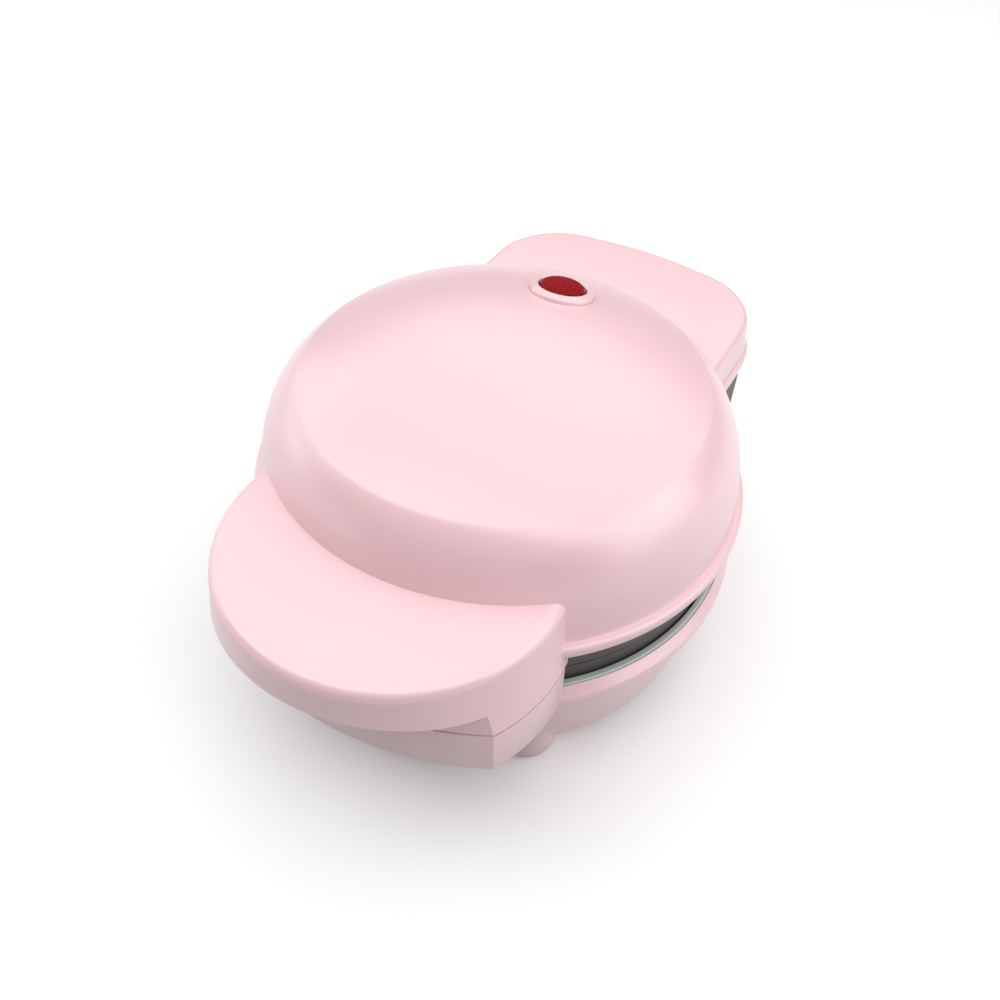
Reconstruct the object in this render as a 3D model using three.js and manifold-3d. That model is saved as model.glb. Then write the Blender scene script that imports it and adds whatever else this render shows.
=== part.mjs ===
// A round mini waffle maker: a domed lid on a rear hinge over a round base, each with a cast waffle plate.
// Units are millimetres and +Z is up. The finished group stands on z = 0 with its bounding box centred on
// the origin, +Y towards the hinge. Everything is modelled in the closing frame: its origin is on the lid's
// axis at the middle height of the bead round the lid's rim, and the last lines lift it to its place.
import * as THREE from "three";
import { mergeVertices } from "three/addons/utils/BufferGeometryUtils.js";
import Module from "manifold-3d";

const wasm = await Module();
wasm.setup();

// ---------------------------------------------------------------- driving dimensions
const BEAD_HEIGHT = 54.5; // bead's middle above the table
const LID_AXIS_Y = -1.6; // lid axis, ahead of the middle of the overall length

const WALL = 2.2; // moulded wall thickness
const GAP = 0.3; // clearance between neighbouring pieces
const ROUND = 48; // segments round the large turned parts
const FRONT_ROUND = 60; // the same for the front block's face
const INSIDE = 36; // the same for hidden walls

const BEAD = { radius: 63.5, foot: 62.9, bottom: -2, top: 1.4, inner: 59.9 };
const DOME = { sphere: 111, edge: 50.5, edgeZ: 28.6 }; // spherical cap inside the soft shoulder
// Superellipse below the shoulder.
const FLANK = { centre: 30, reach: 31.4, height: 35.4, foot: -1.3, power: 2.5 };

const VISOR = { y: -49, topRadius: 41, footRadius: 43, top: 14, edge: 3, plate: 2.6 };
const PARTING = -6; // where the lid's front block meets the base's
const FRONT_WALL = 79; // front block's face, a circle about the lid axis
const ARCH = { middle: 5, end: 1, halfWidth: 38 }; // lower edge of the visor's skirt

const HOUSING = { halfWidth: 39.6, rear: 92.3, corner: 22.7, bow: 1.6, top: 17, foot: 7.3, flare: 1 };
const COVER = { bottom: 3.4, top: 7, proud: 1.9, floor: 1.8 };
const COVER_SCREW = { x: 26, y: 84 };
const BRACKET = { halfWidth: 34, front: 66.2, rear: 80, thick: 2, armFront: 64.8, armRear: 73 };

const LAMP = { y: 28.4, collar: 8.8, collarTop: 7.9, rise: 1.4, bore: 6.5 };

const PLATE = { cavity: 52, depth: 8.5, web: 2.8, skirt: 2.2 };
// Each plate's lip, and the far end of its rim as [beyond the radius, above the lip] points.
const UPPER = { radius: 59.6, lip: -14.6, up: 1, rim: [[0, 10.6], [0.8, 10.6], [0.8, 12.2], [-2.2, 12.2]] };
const LOWER = { radius: 59.4, lip: -15.1, up: -1, rim: [[0, 7], [-2.2, 7]] };
const PEG = { pitch: 13, base: 4.5, tip: 3.4, height: 5.4, reach: 46 };
const RING = { inner: 59.75, outer: 61, top: -15.2, bottom: -19.3 };

const RIM = { inner: 61.3, top: -15.6, radius: 63.5, radiusZ: -18.2, foot: -20 };
const BASE = { wallTop: 62.7, wallFoot: 56.6, bottom: -45.2, floor: 2.2 };
const FOOT = { x: 31, y: 37.3, top: 9.8, bottom: 8.4, pad: 6.6, padThick: 1.2, end: -53.7 };
const SEAT = { halfWidth: 38, rear: 72.5, top: -16.8, bottom: -37, corner: 8 }; // base's rear hinge seat

const HINGE = { y: 68, z: -6, radius: 7.8, halfLength: 39.6, knuckle: 20.3, knuckleEnd: 29.7, waist: 17.4 };
const WAIST_RADIUS = 5.5; // hinge barrel behind the lid's bead, slimmer to let the bead swing
const PIN = { radius: 2.4, bore: 2.7, start: 12.5, end: 37.5 };
const LOOM = 2.4; // radius of the wire bundles

const SCREW = { head: 3, shank: 1.4, hole: 1.8 }; // radii shared by all the screws
const SCREW_CIRCLE = 24; // plate bosses' circle
const SCREW_ANGLES = [90, 210, 330];
const BOSS = 4;
const ELEMENT = { circle: 38, radius: 3.2, opening: 26 }; // opening is half the gap at the rear, in degrees
const SHIELD = { level: 7.6, thick: 0.8, skirt: 1.6 }; // heights above the plate's back
const THERMOSTAT = { y: -12, radius: 8.4, step: 7, shoulder: 6, height: 10, blades: 16 };
const FUSE = { y: -12, radius: 2.2, half: 9, lead: 0.7, reach: 16 };
const TERMINAL = { y: 30, half: 9, depth: 9, height: 6, cover: 7.6 };
const GLAND = { x: 14, face: 72.2, z: -29.5, radius: 5.4, bore: 3.4, boss: 7.2 };
const HOUSING_SCREW = { x: 9.5, y: 66, top: -10.5 };
const VENT = { pitch: 7, half: 1.2, front: -42, rear: -26 };

// ---------------------------------------------------------------- materials
const finish = (color, roughness, metalness = 0) =>
  new THREE.MeshStandardMaterial({ color, roughness, metalness });
const PINK = finish(0xf8d8de, 0.3);
const NON_STICK = finish(0x3a3836, 0.42, 0.2);
const HINGE_GREY = finish(0x4b4b4b, 0.55);
const STEEL = finish(0xb9bcbc, 0.35, 1);
const SHIELD_STEEL = finish(0xc4c6c6, 0.45, 1);
const TRIM_METAL = finish(0x9ba19e, 0.35, 1);
const ELEMENT_STEEL = finish(0x77706a, 0.5, 1);
const LENS_RED = finish(0x9c1019, 0.15);
const LAMP_GLASS = finish(0xf2c9a0, 0.1);
const SILICONE = finish(0xd9d4c8, 0.7);
const CERAMIC = finish(0xe8e2d4, 0.6);
const NYLON = finish(0xe6e6e2, 0.55);
const RUBBER = finish(0x55504f, 0.85);

// ---------------------------------------------------------------- solids
// A closed geometry as a manifold-3d solid; only its positions are kept.
function solid(geometry) {
  const bare = geometry.clone();
  bare.deleteAttribute("normal");
  bare.deleteAttribute("uv");
  const merged = mergeVertices(bare, 1e-4);
  return new wasm.Manifold(
    new wasm.Mesh({
      numProp: 3,
      vertProperties: new Float32Array(merged.attributes.position.array),
      triVerts: new Uint32Array(merged.index.array),
    }),
  );
}

// A solid back as a named mesh.
function piece(name, shape, material) {
  const data = shape.getMesh();
  const geometry = new THREE.BufferGeometry();
  geometry.setAttribute("position", new THREE.BufferAttribute(data.vertProperties, 3));
  geometry.setIndex(new THREE.BufferAttribute(data.triVerts, 1));
  const flat = geometry.toNonIndexed();
  flat.computeVertexNormals();
  const mesh = new THREE.Mesh(flat, material);
  mesh.name = name;
  return mesh;
}

// A profile of [radius, z] points turned about the z axis through (x, y). The profile closes on itself.
function turned(points, segments = 24, x = 0, y = 0) {
  let area = 0;
  points.forEach(([r, z], i) => {
    const [r2, z2] = points[(i + 1) % points.length];
    area += r * z2 - r2 * z;
  });
  const outline = (area > 0 ? points : [...points].reverse()).map(([r, z]) => new THREE.Vector2(r, z));
  const onAxis = outline.findIndex((p) => p.x === 0);
  if (onAxis >= 0) {
    // Start on the axis, so that the surface has no face along it.
    while (!(outline[0].x === 0 && outline[outline.length - 1].x === 0)) outline.push(outline.shift());
  } else {
    outline.push(outline[0].clone());
  }
  const lathe = new THREE.LatheGeometry(outline, segments);
  lathe.rotateX(Math.PI / 2);
  lathe.translate(x, y, 0);
  return solid(lathe);
}

const disc = (radius, bottom, top, x = 0, y = 0, segments = 24) =>
  turned([[0, bottom], [radius, bottom], [radius, top], [0, top]], segments, x, y);

function block(x0, x1, y0, y1, z0, z1) {
  const box = new THREE.BoxGeometry(x1 - x0, y1 - y0, z1 - z0);
  box.translate((x0 + x1) / 2, (y0 + y1) / 2, (z0 + z1) / 2);
  return solid(box);
}

// A round bar along X.
function barX(radius, x0, x1, y, z, segments = 32) {
  const bar = new THREE.CylinderGeometry(radius, radius, x1 - x0, segments);
  bar.rotateZ(Math.PI / 2);
  bar.translate((x0 + x1) / 2, y, z);
  return solid(bar);
}

// A round bar along Y at height z.
function barY(radius, y0, y1, z, x = 0, segments = 24) {
  const bar = new THREE.CylinderGeometry(radius, radius, y1 - y0, segments);
  bar.translate(x, (y0 + y1) / 2, z);
  return solid(bar);
}

// A round tube of wire or heater rod along a smooth line through the points.
function rod(radius, points, steps, sides = 8, tension = 0.5) {
  const line = new THREE.CatmullRomCurve3(
    points.map((p) => new THREE.Vector3(...p)),
    false,
    "catmullrom",
    tension,
  );
  const section = new THREE.Shape().absarc(0, 0, radius, 0, 2 * Math.PI);
  const sectionPoints = section.getSpacedPoints(sides).slice(0, sides);
  return solid(
    new THREE.ExtrudeGeometry(new THREE.Shape(sectionPoints), {
      steps,
      extrudePath: line,
      bevelEnabled: false,
      curveSegments: sides,
    }),
  );
}

// Levels of one outline joined into a closed solid. outline(offset) gives [x, y] points, always the same
// number, anticlockwise; a level is [z, offset], from the bottom up.
function loft(outline, levels) {
  const rings = levels.map(([z, offset]) => outline(offset).map(([x, y]) => new THREE.Vector3(x, y, z)));
  const count = rings[0].length;
  const cap = THREE.ShapeUtils.triangulateShape(rings[0].map((p) => new THREE.Vector2(p.x, p.y)), []);
  const index = [];
  for (let level = 0; level + 1 < rings.length; level++) {
    for (let i = 0; i < count; i++) {
      const a = level * count + i;
      const b = level * count + ((i + 1) % count);
      index.push(a, b, b + count, a, b + count, a + count);
    }
  }
  const last = (rings.length - 1) * count;
  cap.forEach(([a, b, c]) => index.push(a, c, b, last + a, last + b, last + c));
  const geometry = new THREE.BufferGeometry().setFromPoints(rings.flat());
  geometry.setIndex(index);
  return solid(geometry);
}

const joined = (...shapes) => shapes.reduce((all, next) => all.add(next));
const cut = (shape, ...tools) => tools.reduce((left, tool) => left.subtract(tool), shape);
const onCircle = (radius, degrees) => [
  radius * Math.cos(THREE.MathUtils.degToRad(degrees)),
  radius * Math.sin(THREE.MathUtils.degToRad(degrees)),
];

// ---------------------------------------------------------------- lid outlines
const sphereCentre = DOME.edgeZ - Math.sqrt(DOME.sphere ** 2 - DOME.edge ** 2);
const capHeight = (radius, inset = 0) =>
  sphereCentre + Math.sqrt((DOME.sphere - inset) ** 2 - radius ** 2);
const flankRadius = (z, inset = 0) => {
  const share = ((z - FLANK.foot) / (FLANK.height - inset)) ** FLANK.power;
  return FLANK.centre + (FLANK.reach - inset) * (1 - share) ** (1 / FLANK.power);
};

// Dome profile from the foot of the flank up to the axis, a wall thickness inside the outer skin when inset.
function domeProfile(inset, start, steps) {
  const shoulder = DOME.edgeZ - inset * 0.8;
  const points = [];
  for (let i = 0; i <= steps; i++) {
    const z = start + (shoulder - start) * Math.sin((i / steps) * (Math.PI / 2)) ** 0.8;
    points.push([flankRadius(Math.max(z, FLANK.foot), inset), z]);
  }
  const edge = points[points.length - 1][0];
  for (let i = 1; i <= steps - 2; i++) {
    const radius = edge * (1 - i / (steps - 2));
    points.push([radius, capHeight(radius, inset)]);
  }
  return points;
}

// Rounded rear housing seen from above, open only inside the dome.
function housingOutline(offset) {
  const half = HOUSING.halfWidth + offset;
  const corner = HOUSING.corner + offset;
  const straight = half - corner;
  const cornerY = HOUSING.rear - HOUSING.bow - HOUSING.corner;
  const right = [[half, 38]];
  for (let i = 0; i <= 7; i++) {
    const angle = (i / 7) * (Math.PI / 2);
    right.push([straight + corner * Math.cos(angle), cornerY + corner * Math.sin(angle)]);
  }
  for (const share of [0.66, 0.33]) {
    const x = straight * share;
    right.push([x, HOUSING.rear + offset - HOUSING.bow * share ** 2]);
  }
  const left = right.map(([x, y]) => [-x, y]).reverse();
  return [...right, [0, HOUSING.rear + offset], ...left];
}

// ---------------------------------------------------------------- lid shell
function domeOuter() {
  return turned(
    [
      [0, BEAD.bottom],
      [BEAD.foot, BEAD.bottom],
      [BEAD.radius, BEAD.bottom + 1],
      [BEAD.radius, BEAD.top - 1],
      [BEAD.radius - 0.7, BEAD.top - 0.2],
      [BEAD.radius - 1.7, BEAD.top],
      ...domeProfile(0, BEAD.top, 7),
    ],
    ROUND,
  );
}

function domeInner() {
  const below = BEAD.bottom - 1;
  const low = [[0, below], [BEAD.inner, below], [BEAD.inner - 0.7, 0]];
  return turned([...low, ...domeProfile(WALL, 0.5, 5)], INSIDE);
}

// The visor and the block behind its skirt, turned about the visor's own axis.
function visorBody(inset, top, bottom) {
  const { topRadius, footRadius, edge } = VISOR;
  const slope = (footRadius - topRadius) / (VISOR.top - edge - PARTING);
  const foot = footRadius + slope * (PARTING - bottom) - inset;
  const round = [0, 0.35, 0.7, 1].map((share) => {
    const angle = (share * Math.PI) / 2;
    return [topRadius - inset - edge * (1 - Math.cos(angle)), top - edge * (1 - Math.sin(angle))];
  });
  return turned([[0, bottom], [foot, bottom], ...round, [0, top]], ROUND, 0, VISOR.y);
}

// Everything under the skirt's arched lower edge, ahead of the front wall.
function underSkirt() {
  const arch = new THREE.Shape();
  const low = PARTING - 3;
  arch.moveTo(-50, low);
  arch.lineTo(50, low);
  arch.lineTo(50, ARCH.end);
  arch.lineTo(ARCH.halfWidth, ARCH.end);
  arch.quadraticCurveTo(0, 2 * ARCH.middle - ARCH.end, -ARCH.halfWidth, ARCH.end);
  arch.lineTo(-50, ARCH.end);
  const slab = new THREE.ExtrudeGeometry(arch, { depth: 60, bevelEnabled: false, curveSegments: 10 });
  slab.rotateX(Math.PI / 2);
  slab.translate(0, -40, 0);
  return solid(slab).subtract(disc(FRONT_WALL, low - 1, VISOR.top, 0, 0, FRONT_ROUND));
}

function lidVisor() {
  const roof = VISOR.top - VISOR.plate;
  const low = PARTING - 3;
  const inside = visorBody(WALL, roof, low);
  const recess = inside.subtract(disc(FRONT_WALL, low - 1, VISOR.top, 0, 0, FRONT_ROUND));
  const hollow = inside
    .intersect(disc(FRONT_WALL - WALL, low, roof, 0, 0, FRONT_ROUND))
    .subtract(disc(BEAD.radius + 0.2, low - 1, VISOR.top, 0, 0, ROUND));
  const body = visorBody(0, VISOR.top, PARTING);
  return cut(body, recess, hollow, underSkirt(), disc(61.2, low, BEAD.bottom, 0, 0, ROUND));
}

function lidHousing() {
  const { top, foot, flare } = HOUSING;
  const outer = loft(housingOutline, [
    [foot, flare],
    [top - 1.8, 0.1],
    [top - 0.8, -0.3],
    [top - 0.2, -1],
    [top, -2],
  ]);
  const inner = loft(housingOutline, [
    [foot - 1, flare - WALL],
    [top - WALL - 0.6, 0.1 - WALL],
    [top - WALL, -0.9 - WALL],
  ]);
  return outer.subtract(inner.subtract(disc(60.8, foot - 2, top, 0, 0, ROUND)));
}

// The lamp stands square to the dome, so its pieces are made upright at the origin and tipped into place.
function atLamp(shape) {
  const tip = -THREE.MathUtils.radToDeg(Math.asin(LAMP.y / DOME.sphere));
  return shape.rotate([tip, 0, 0]).translate([0, LAMP.y, capHeight(LAMP.y)]);
}

function lampCollar() {
  const { collar, collarTop, rise } = LAMP;
  const outside = [[0, -1.6], [collar, -1.6], [collar, 0.3], [collar - 0.4, 1], [collarTop, rise], [0, rise]];
  return atLamp(turned(outside, 28));
}

function lidShell() {
  const wireSlot = block(-4, 4, 50, 66, 7.4, 13.8);
  const skin = joined(domeOuter(), lampCollar()).subtract(domeInner());
  const shell = joined(skin, lidVisor().subtract(domeInner()), lidHousing().subtract(domeInner()));
  const lampBore = atLamp(disc(LAMP.bore, -8, 4, 0, 0, 28));
  return piece("lid_shell", cut(shell, wireSlot, lampBore), PINK);
}

// ---------------------------------------------------------------- rear housing cover and hinge bracket
function lidRearCover() {
  const { bottom, top, proud, floor } = COVER;
  const outer = loft(housingOutline, [
    [bottom, proud - 0.6],
    [bottom + 0.6, proud],
    [top - 0.8, proud],
    [top, proud - 0.7],
  ]);
  const inset = proud - 0.7 - WALL;
  const inner = loft(housingOutline, [[bottom + floor, inset], [top + 1, inset]]);
  const shell = cut(
    outer,
    inner.subtract(disc(63.8, bottom, top + 2, 0, 0, ROUND)),
    disc(61.8, bottom - 1, top + 1, 0, 0, ROUND),
    disc(LOOM + 1, bottom - 1, bottom + 3, 0, HINGE.y),
  );
  // The bracket's arms pass the floor in two slots.
  const slots = [-1, 1].map((side) => {
    const middle = (side * (HINGE.knuckle + HINGE.knuckleEnd)) / 2;
    const half = (HINGE.knuckleEnd - HINGE.knuckle) / 2 + 0.4;
    const { armFront, armRear } = BRACKET;
    return block(middle - half, middle + half, armFront - 0.4, armRear + 0.4, bottom - 1, bottom + 3);
  });
  const screwHoles = [-1, 1].map((side) =>
    disc(SCREW.hole, bottom - 1, bottom + 3, side * COVER_SCREW.x, COVER_SCREW.y, 16),
  );
  return piece("lid_rear_cover", cut(shell, ...slots, ...screwHoles), PINK);
}

function coverScrews() {
  return [-1, 1].map((side, i) => {
    const x = side * COVER_SCREW.x;
    const head = disc(SCREW.head, COVER.bottom - 1.3, COVER.bottom - GAP, x, COVER_SCREW.y, 16);
    const shank = disc(SCREW.shank, COVER.bottom - 1, COVER.bottom + 8, x, COVER_SCREW.y, 12);
    return piece(`rear_cover_screw_${i + 1}`, head.add(shank), STEEL);
  });
}

function lidHingeBracket() {
  const plateBottom = COVER.bottom + COVER.floor + GAP;
  const { halfWidth, front, rear, thick, armFront, armRear } = BRACKET;
  const plate = block(-halfWidth, halfWidth, front, rear, plateBottom, plateBottom + thick);
  const arms = [-1, 1].map((side) => {
    const x0 = side > 0 ? HINGE.knuckle : -HINGE.knuckleEnd;
    const x1 = side > 0 ? HINGE.knuckleEnd : -HINGE.knuckle;
    const arm = block(x0, x1, armFront, armRear, HINGE.z, plateBottom + 1.5);
    return arm.add(barX(HINGE.radius, x0, x1, HINGE.y, HINGE.z));
  });
  const bracket = cut(
    joined(plate, ...arms),
    barX(PIN.bore, -60, 60, HINGE.y, HINGE.z, 20),
    disc(LOOM + 1, plateBottom - 1, plateBottom + 3, 0, HINGE.y),
  );
  return piece("lid_hinge_bracket", bracket, HINGE_GREY);
}

// ---------------------------------------------------------------- indicator lamp
function lampLens() {
  const skirt = LAMP.bore - GAP;
  const dome = [];
  for (let i = 0; i <= 4; i++) {
    const angle = (i / 4) * (Math.PI / 2);
    dome.push([skirt * Math.cos(angle), 0.2 + 1.5 * Math.sin(angle)]);
  }
  dome[dome.length - 1][0] = 0;
  const outer = turned([[0, -6], [skirt, -6], ...dome], 28);
  return piece("lamp_lens", atLamp(outer.subtract(disc(skirt - 1.2, -7, -1, 0, 0, 24))), LENS_RED);
}

function neonLamp() {
  const glass = turned([[0, -15], [2.6, -15], [2.6, -4], [1.8, -2.4], [0, -2]], 16);
  return piece("neon_lamp", atLamp(glass), LAMP_GLASS);
}

function lampHolder() {
  const sleeve = turned([[2.9, -17], [4.6, -17], [4.6, -2.6], [2.9, -2.6]], 20);
  return piece("lamp_holder", atLamp(sleeve), SILICONE);
}

// ---------------------------------------------------------------- waffle plates
// A plate's turned body. Its cooking face looks away from up: 1 for the upper plate and -1 for the lower.
function waffleBody({ radius, lip, up, rim }) {
  const at = (height) => lip + up * height;
  const back = PLATE.depth + PLATE.web;
  return turned(
    [
      [0, at(PLATE.depth)],
      [PLATE.cavity - 1.5, at(PLATE.depth)],
      [PLATE.cavity, at(0)],
      [radius - 0.5, at(0)],
      [radius, at(0.6)],
      ...rim.map(([out, height]) => [radius + out, at(height)]),
      [radius - PLATE.skirt, at(2.2)],
      [PLATE.cavity + 2.3, at(2.2)],
      [PLATE.cavity + 1, at(back)],
      [0, at(back)],
    ],
    ROUND,
  );
}

// Square pegs that print the waffle's pockets, on a square grid inside the cavity.
function pegs(lip, up) {
  const found = [];
  const most = Math.floor(PEG.reach / PEG.pitch) + 1;
  for (let column = -most; column < most; column++) {
    for (let row = -most; row < most; row++) {
      const x = (column + 0.5) * PEG.pitch;
      const y = (row + 0.5) * PEG.pitch;
      if (Math.hypot(x, y) > PEG.reach) continue;
      const peg = new THREE.CylinderGeometry(
        PEG.tip * Math.SQRT2,
        PEG.base * Math.SQRT2,
        PEG.height + 0.4,
        4,
      );
      peg.rotateY(Math.PI / 4);
      peg.rotateX((up > 0 ? -1 : 1) * (Math.PI / 2));
      peg.translate(x, y, lip + up * (PLATE.depth - PEG.height / 2 + 0.2));
      found.push(solid(peg));
    }
  }
  return wasm.Manifold.union(found);
}

function plate(name, shape) {
  const { lip, up } = shape;
  const back = PLATE.depth + PLATE.web;
  const bossEnds = [lip + up * (back - 0.5), lip + up * (back + 7.3)];
  const body = [waffleBody(shape), pegs(lip, up)];
  const holes = [];
  for (const degrees of SCREW_ANGLES) {
    const [x, y] = onCircle(SCREW_CIRCLE, degrees);
    body.push(disc(BOSS, Math.min(...bossEnds), Math.max(...bossEnds), x, y, 14));
    const pilot = [lip + up * (back + 1), lip + up * (back + 8)];
    holes.push(disc(1.7, Math.min(...pilot), Math.max(...pilot), x, y, 10));
  }
  return piece(name, cut(wasm.Manifold.union(body), ...holes), NON_STICK);
}

const UPPER_BACK = UPPER.lip + PLATE.depth + PLATE.web;
const LOWER_BACK = LOWER.lip - PLATE.depth - PLATE.web;

// Tubular heater: most of a circle on the plate's back, its ends turned away to the terminals at the rear.
function element(name, back, up) {
  const z = back + up * (ELEMENT.radius + GAP);
  const start = 90 + ELEMENT.opening;
  const sweep = 360 - 2 * ELEMENT.opening;
  const [endX, endY] = onCircle(ELEMENT.circle, start);
  const points = [[endX + 3.4, endY + 2.2, z + up * 8], [endX + 3.2, endY + 2, z + up * 4.6]];
  for (let i = 0; i <= 20; i++) {
    points.push([...onCircle(ELEMENT.circle, start + (sweep * (i + 0.3)) / 20.6), z]);
  }
  points.push([-endX - 3.2, endY + 2, z + up * 4.6], [-endX - 3.4, endY + 2.2, z + up * 8]);
  return piece(name, rod(ELEMENT.radius, points, 36, 7), ELEMENT_STEEL);
}

// Sheet pan over the element, with holes for the screws, the heater's ends and the thermostat or fuse, and a
// notch at the rear for the wires.
function heatShield(name, back, up, radius) {
  const at = (height) => back + up * height;
  const { level, thick, skirt } = SHIELD;
  const pan = turned(
    [
      [0, at(level)],
      [radius - thick, at(level)],
      [radius - thick, at(skirt)],
      [radius, at(skirt)],
      [radius, at(level + thick)],
      [0, at(level + thick)],
    ],
    INSIDE,
  );
  const low = Math.min(at(level - 1), at(level + 2));
  const hole = (size, x, y, segments) => disc(size, low, low + 3, x, y, segments);
  const holes = SCREW_ANGLES.map((degrees) => hole(2, ...onCircle(SCREW_CIRCLE, degrees), 12));
  const [endX, endY] = onCircle(ELEMENT.circle, 90 + ELEMENT.opening);
  for (const side of [-1, 1]) holes.push(hole(6.6, side * (endX + 1.4), endY + 1.4, 14));
  holes.push(hole(THERMOSTAT.radius + 1, 0, THERMOSTAT.y, 20));
  const notch = block(-3.6, 3.6, 42, 60, Math.min(at(0), at(10)), Math.max(at(0), at(10)));
  return piece(name, cut(pan, ...holes, notch), SHIELD_STEEL);
}

function upperPlateScrews() {
  const seat = UPPER_BACK + SHIELD.level + SHIELD.thick + GAP;
  return SCREW_ANGLES.map((degrees, i) => {
    const [x, y] = onCircle(SCREW_CIRCLE, degrees);
    const head = turned([[0, seat], [3.2, seat], [3.2, seat + 1.2], [2, seat + 2], [0, seat + 2]], 12, x, y);
    const shank = disc(SCREW.shank, UPPER_BACK + 1.6, seat + 1, x, y, 12);
    return piece(`upper_plate_screw_${i + 1}`, head.add(shank), STEEL);
  });
}

// Disc thermostat with its two blade terminals.
function thermostat() {
  const { y, radius, step, shoulder, height, blades: bladeTop } = THERMOSTAT;
  const foot = UPPER_BACK + GAP;
  const outside = [
    [0, foot],
    [radius, foot],
    [radius, foot + shoulder],
    [step, foot + shoulder],
    [step, foot + height],
    [0, foot + height],
  ];
  const can = turned(outside, 28, 0, y);
  const blades = [-4, 4].map((x) =>
    block(x - 0.4, x + 0.4, y - 2.4, y + 2.4, foot + height - 1, foot + bladeTop),
  );
  return piece("thermostat", joined(can, ...blades), CERAMIC);
}

// ---------------------------------------------------------------- wires
function lidLoom() {
  const points = [
    [0, 20, 14.5],
    [0, 34, 13.5],
    [0, 48, 11.6],
    [0, 58, 11],
    [0, 64, 10.4],
    [0, 67.4, 8],
    [0, HINGE.y, 3.4],
    [0, HINGE.y, HINGE.z + 1],
  ];
  return piece("lid_loom", rod(LOOM, points, 18), SILICONE);
}

function baseLoom() {
  const points = [
    [0, HINGE.y, HINGE.z - 3],
    [0, HINGE.y, HINGE.z - 8],
    [0, HINGE.y - 0.3, -19],
    [0, 64.6, -24.6],
    [0, 60.4, -29],
    [0, 54, -32.5],
    [0, 46, -37.5],
    [0, 40, -39.4],
  ];
  return piece("base_loom", rod(LOOM, points, 20), SILICONE);
}

function terminalBlock() {
  const { y, half, depth, height, cover: coverTop } = TERMINAL;
  const floor = BASE.bottom + BASE.floor + GAP;
  const body = block(-half, half, y, y + depth, floor, floor + height);
  const inset = 1.6;
  const cover = block(inset - half, half - inset, y + inset, y + depth - inset, floor + 5, floor + coverTop);
  const wells = [-5, 0, 5].map((x) => disc(1.6, floor + 4, floor + coverTop + 1, x, y + depth / 2, 12));
  return piece("terminal_block", cut(joined(body, cover), ...wells), NYLON);
}

function thermalFuse() {
  const z = LOWER_BACK - FUSE.radius - 0.4;
  const can = barX(FUSE.radius, -FUSE.half, FUSE.half, FUSE.y, z, 16);
  const leads = barX(FUSE.lead, -FUSE.reach, FUSE.reach, FUSE.y, z, 8);
  return piece("thermal_fuse", can.add(leads), STEEL);
}

// ---------------------------------------------------------------- base
const baseWall = (z, inset) => {
  const share = (RIM.foot - z) / (RIM.foot - BASE.bottom);
  return BASE.wallTop + (BASE.wallFoot - BASE.wallTop) * share + 1.1 * share * (1 - share) - inset;
};

function baseBowl() {
  const levels = [0, 0.33, 0.67, 1].map((share) => RIM.foot + (BASE.bottom + 1 - RIM.foot) * share);
  const outer = levels.map((z) => [baseWall(z, 0), z]).reverse();
  const inner = levels.slice(0, -1).map((z) => [baseWall(z, WALL), z]);
  const floorTop = BASE.bottom + BASE.floor;
  return turned(
    [
      [0, BASE.bottom],
      [BASE.wallFoot - 1.2, BASE.bottom],
      ...outer,
      [RIM.radius - 0.2, RIM.foot + 0.4],
      [RIM.radius, RIM.radiusZ],
      [RIM.radius - 0.6, RIM.top - 1.5],
      [RIM.inner, RIM.top],
      [RIM.inner, RING.bottom - GAP],
      [RING.inner + 0.2, RING.bottom - GAP],
      [RING.inner + 0.2, RIM.foot - 1.6],
      ...inner.slice(1),
      [baseWall(floorTop, WALL), floorTop],
      [0, floorTop],
    ],
    ROUND,
  );
}

// Front block under the visor, hollow and open below.
function baseFrontBlock() {
  const top = PARTING - GAP;
  const bottom = RIM.foot;
  const outer = turned(
    [[0, bottom], [VISOR.footRadius + 0.2, bottom], [VISOR.footRadius, top], [0, top]],
    ROUND,
    0,
    VISOR.y,
  ).intersect(disc(FRONT_WALL, bottom - 1, top + 1, 0, 0, FRONT_ROUND));
  const inner = disc(VISOR.footRadius - WALL, bottom - 2, top - WALL, 0, VISOR.y, ROUND).intersect(
    disc(FRONT_WALL - WALL, bottom - 2, top, 0, 0, FRONT_ROUND),
  );
  const plates = disc(RIM.radius - 1, bottom - 1, top + 1, 0, 0, ROUND);
  return outer.subtract(inner).subtract(plates);
}

// Rounded seat at the rear of the base that carries the hinge.
function seatOutline(offset) {
  const half = SEAT.halfWidth + offset;
  const corner = SEAT.corner;
  const right = [[half, 36]];
  for (let i = 0; i <= 6; i++) {
    const angle = (i / 6) * (Math.PI / 2);
    const x = half - corner + corner * Math.cos(angle);
    right.push([x, SEAT.rear + offset - corner + corner * Math.sin(angle)]);
  }
  return [...right, ...right.map(([x, y]) => [-x, y]).reverse()];
}

function baseHingeSeat() {
  const outer = loft(seatOutline, [
    [SEAT.bottom, -4.6],
    [SEAT.bottom + 1.2, -3.4],
    [SEAT.top - 1, 0],
    [SEAT.top, -0.6],
  ]);
  const inner = loft(seatOutline, [
    [SEAT.bottom + WALL, -5 - WALL],
    [SEAT.top - WALL, -0.6 - WALL],
  ]);
  return outer.subtract(inner);
}

const feet = [];
for (const sideY of [-1, 1]) for (const sideX of [-1, 1]) feet.push([sideX * FOOT.x, sideY * FOOT.y]);

const FLOOR_TOP = BASE.bottom + BASE.floor;
const SPACE_TOP = RIM.foot - 1.6; // top of the room inside the bowl

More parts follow.
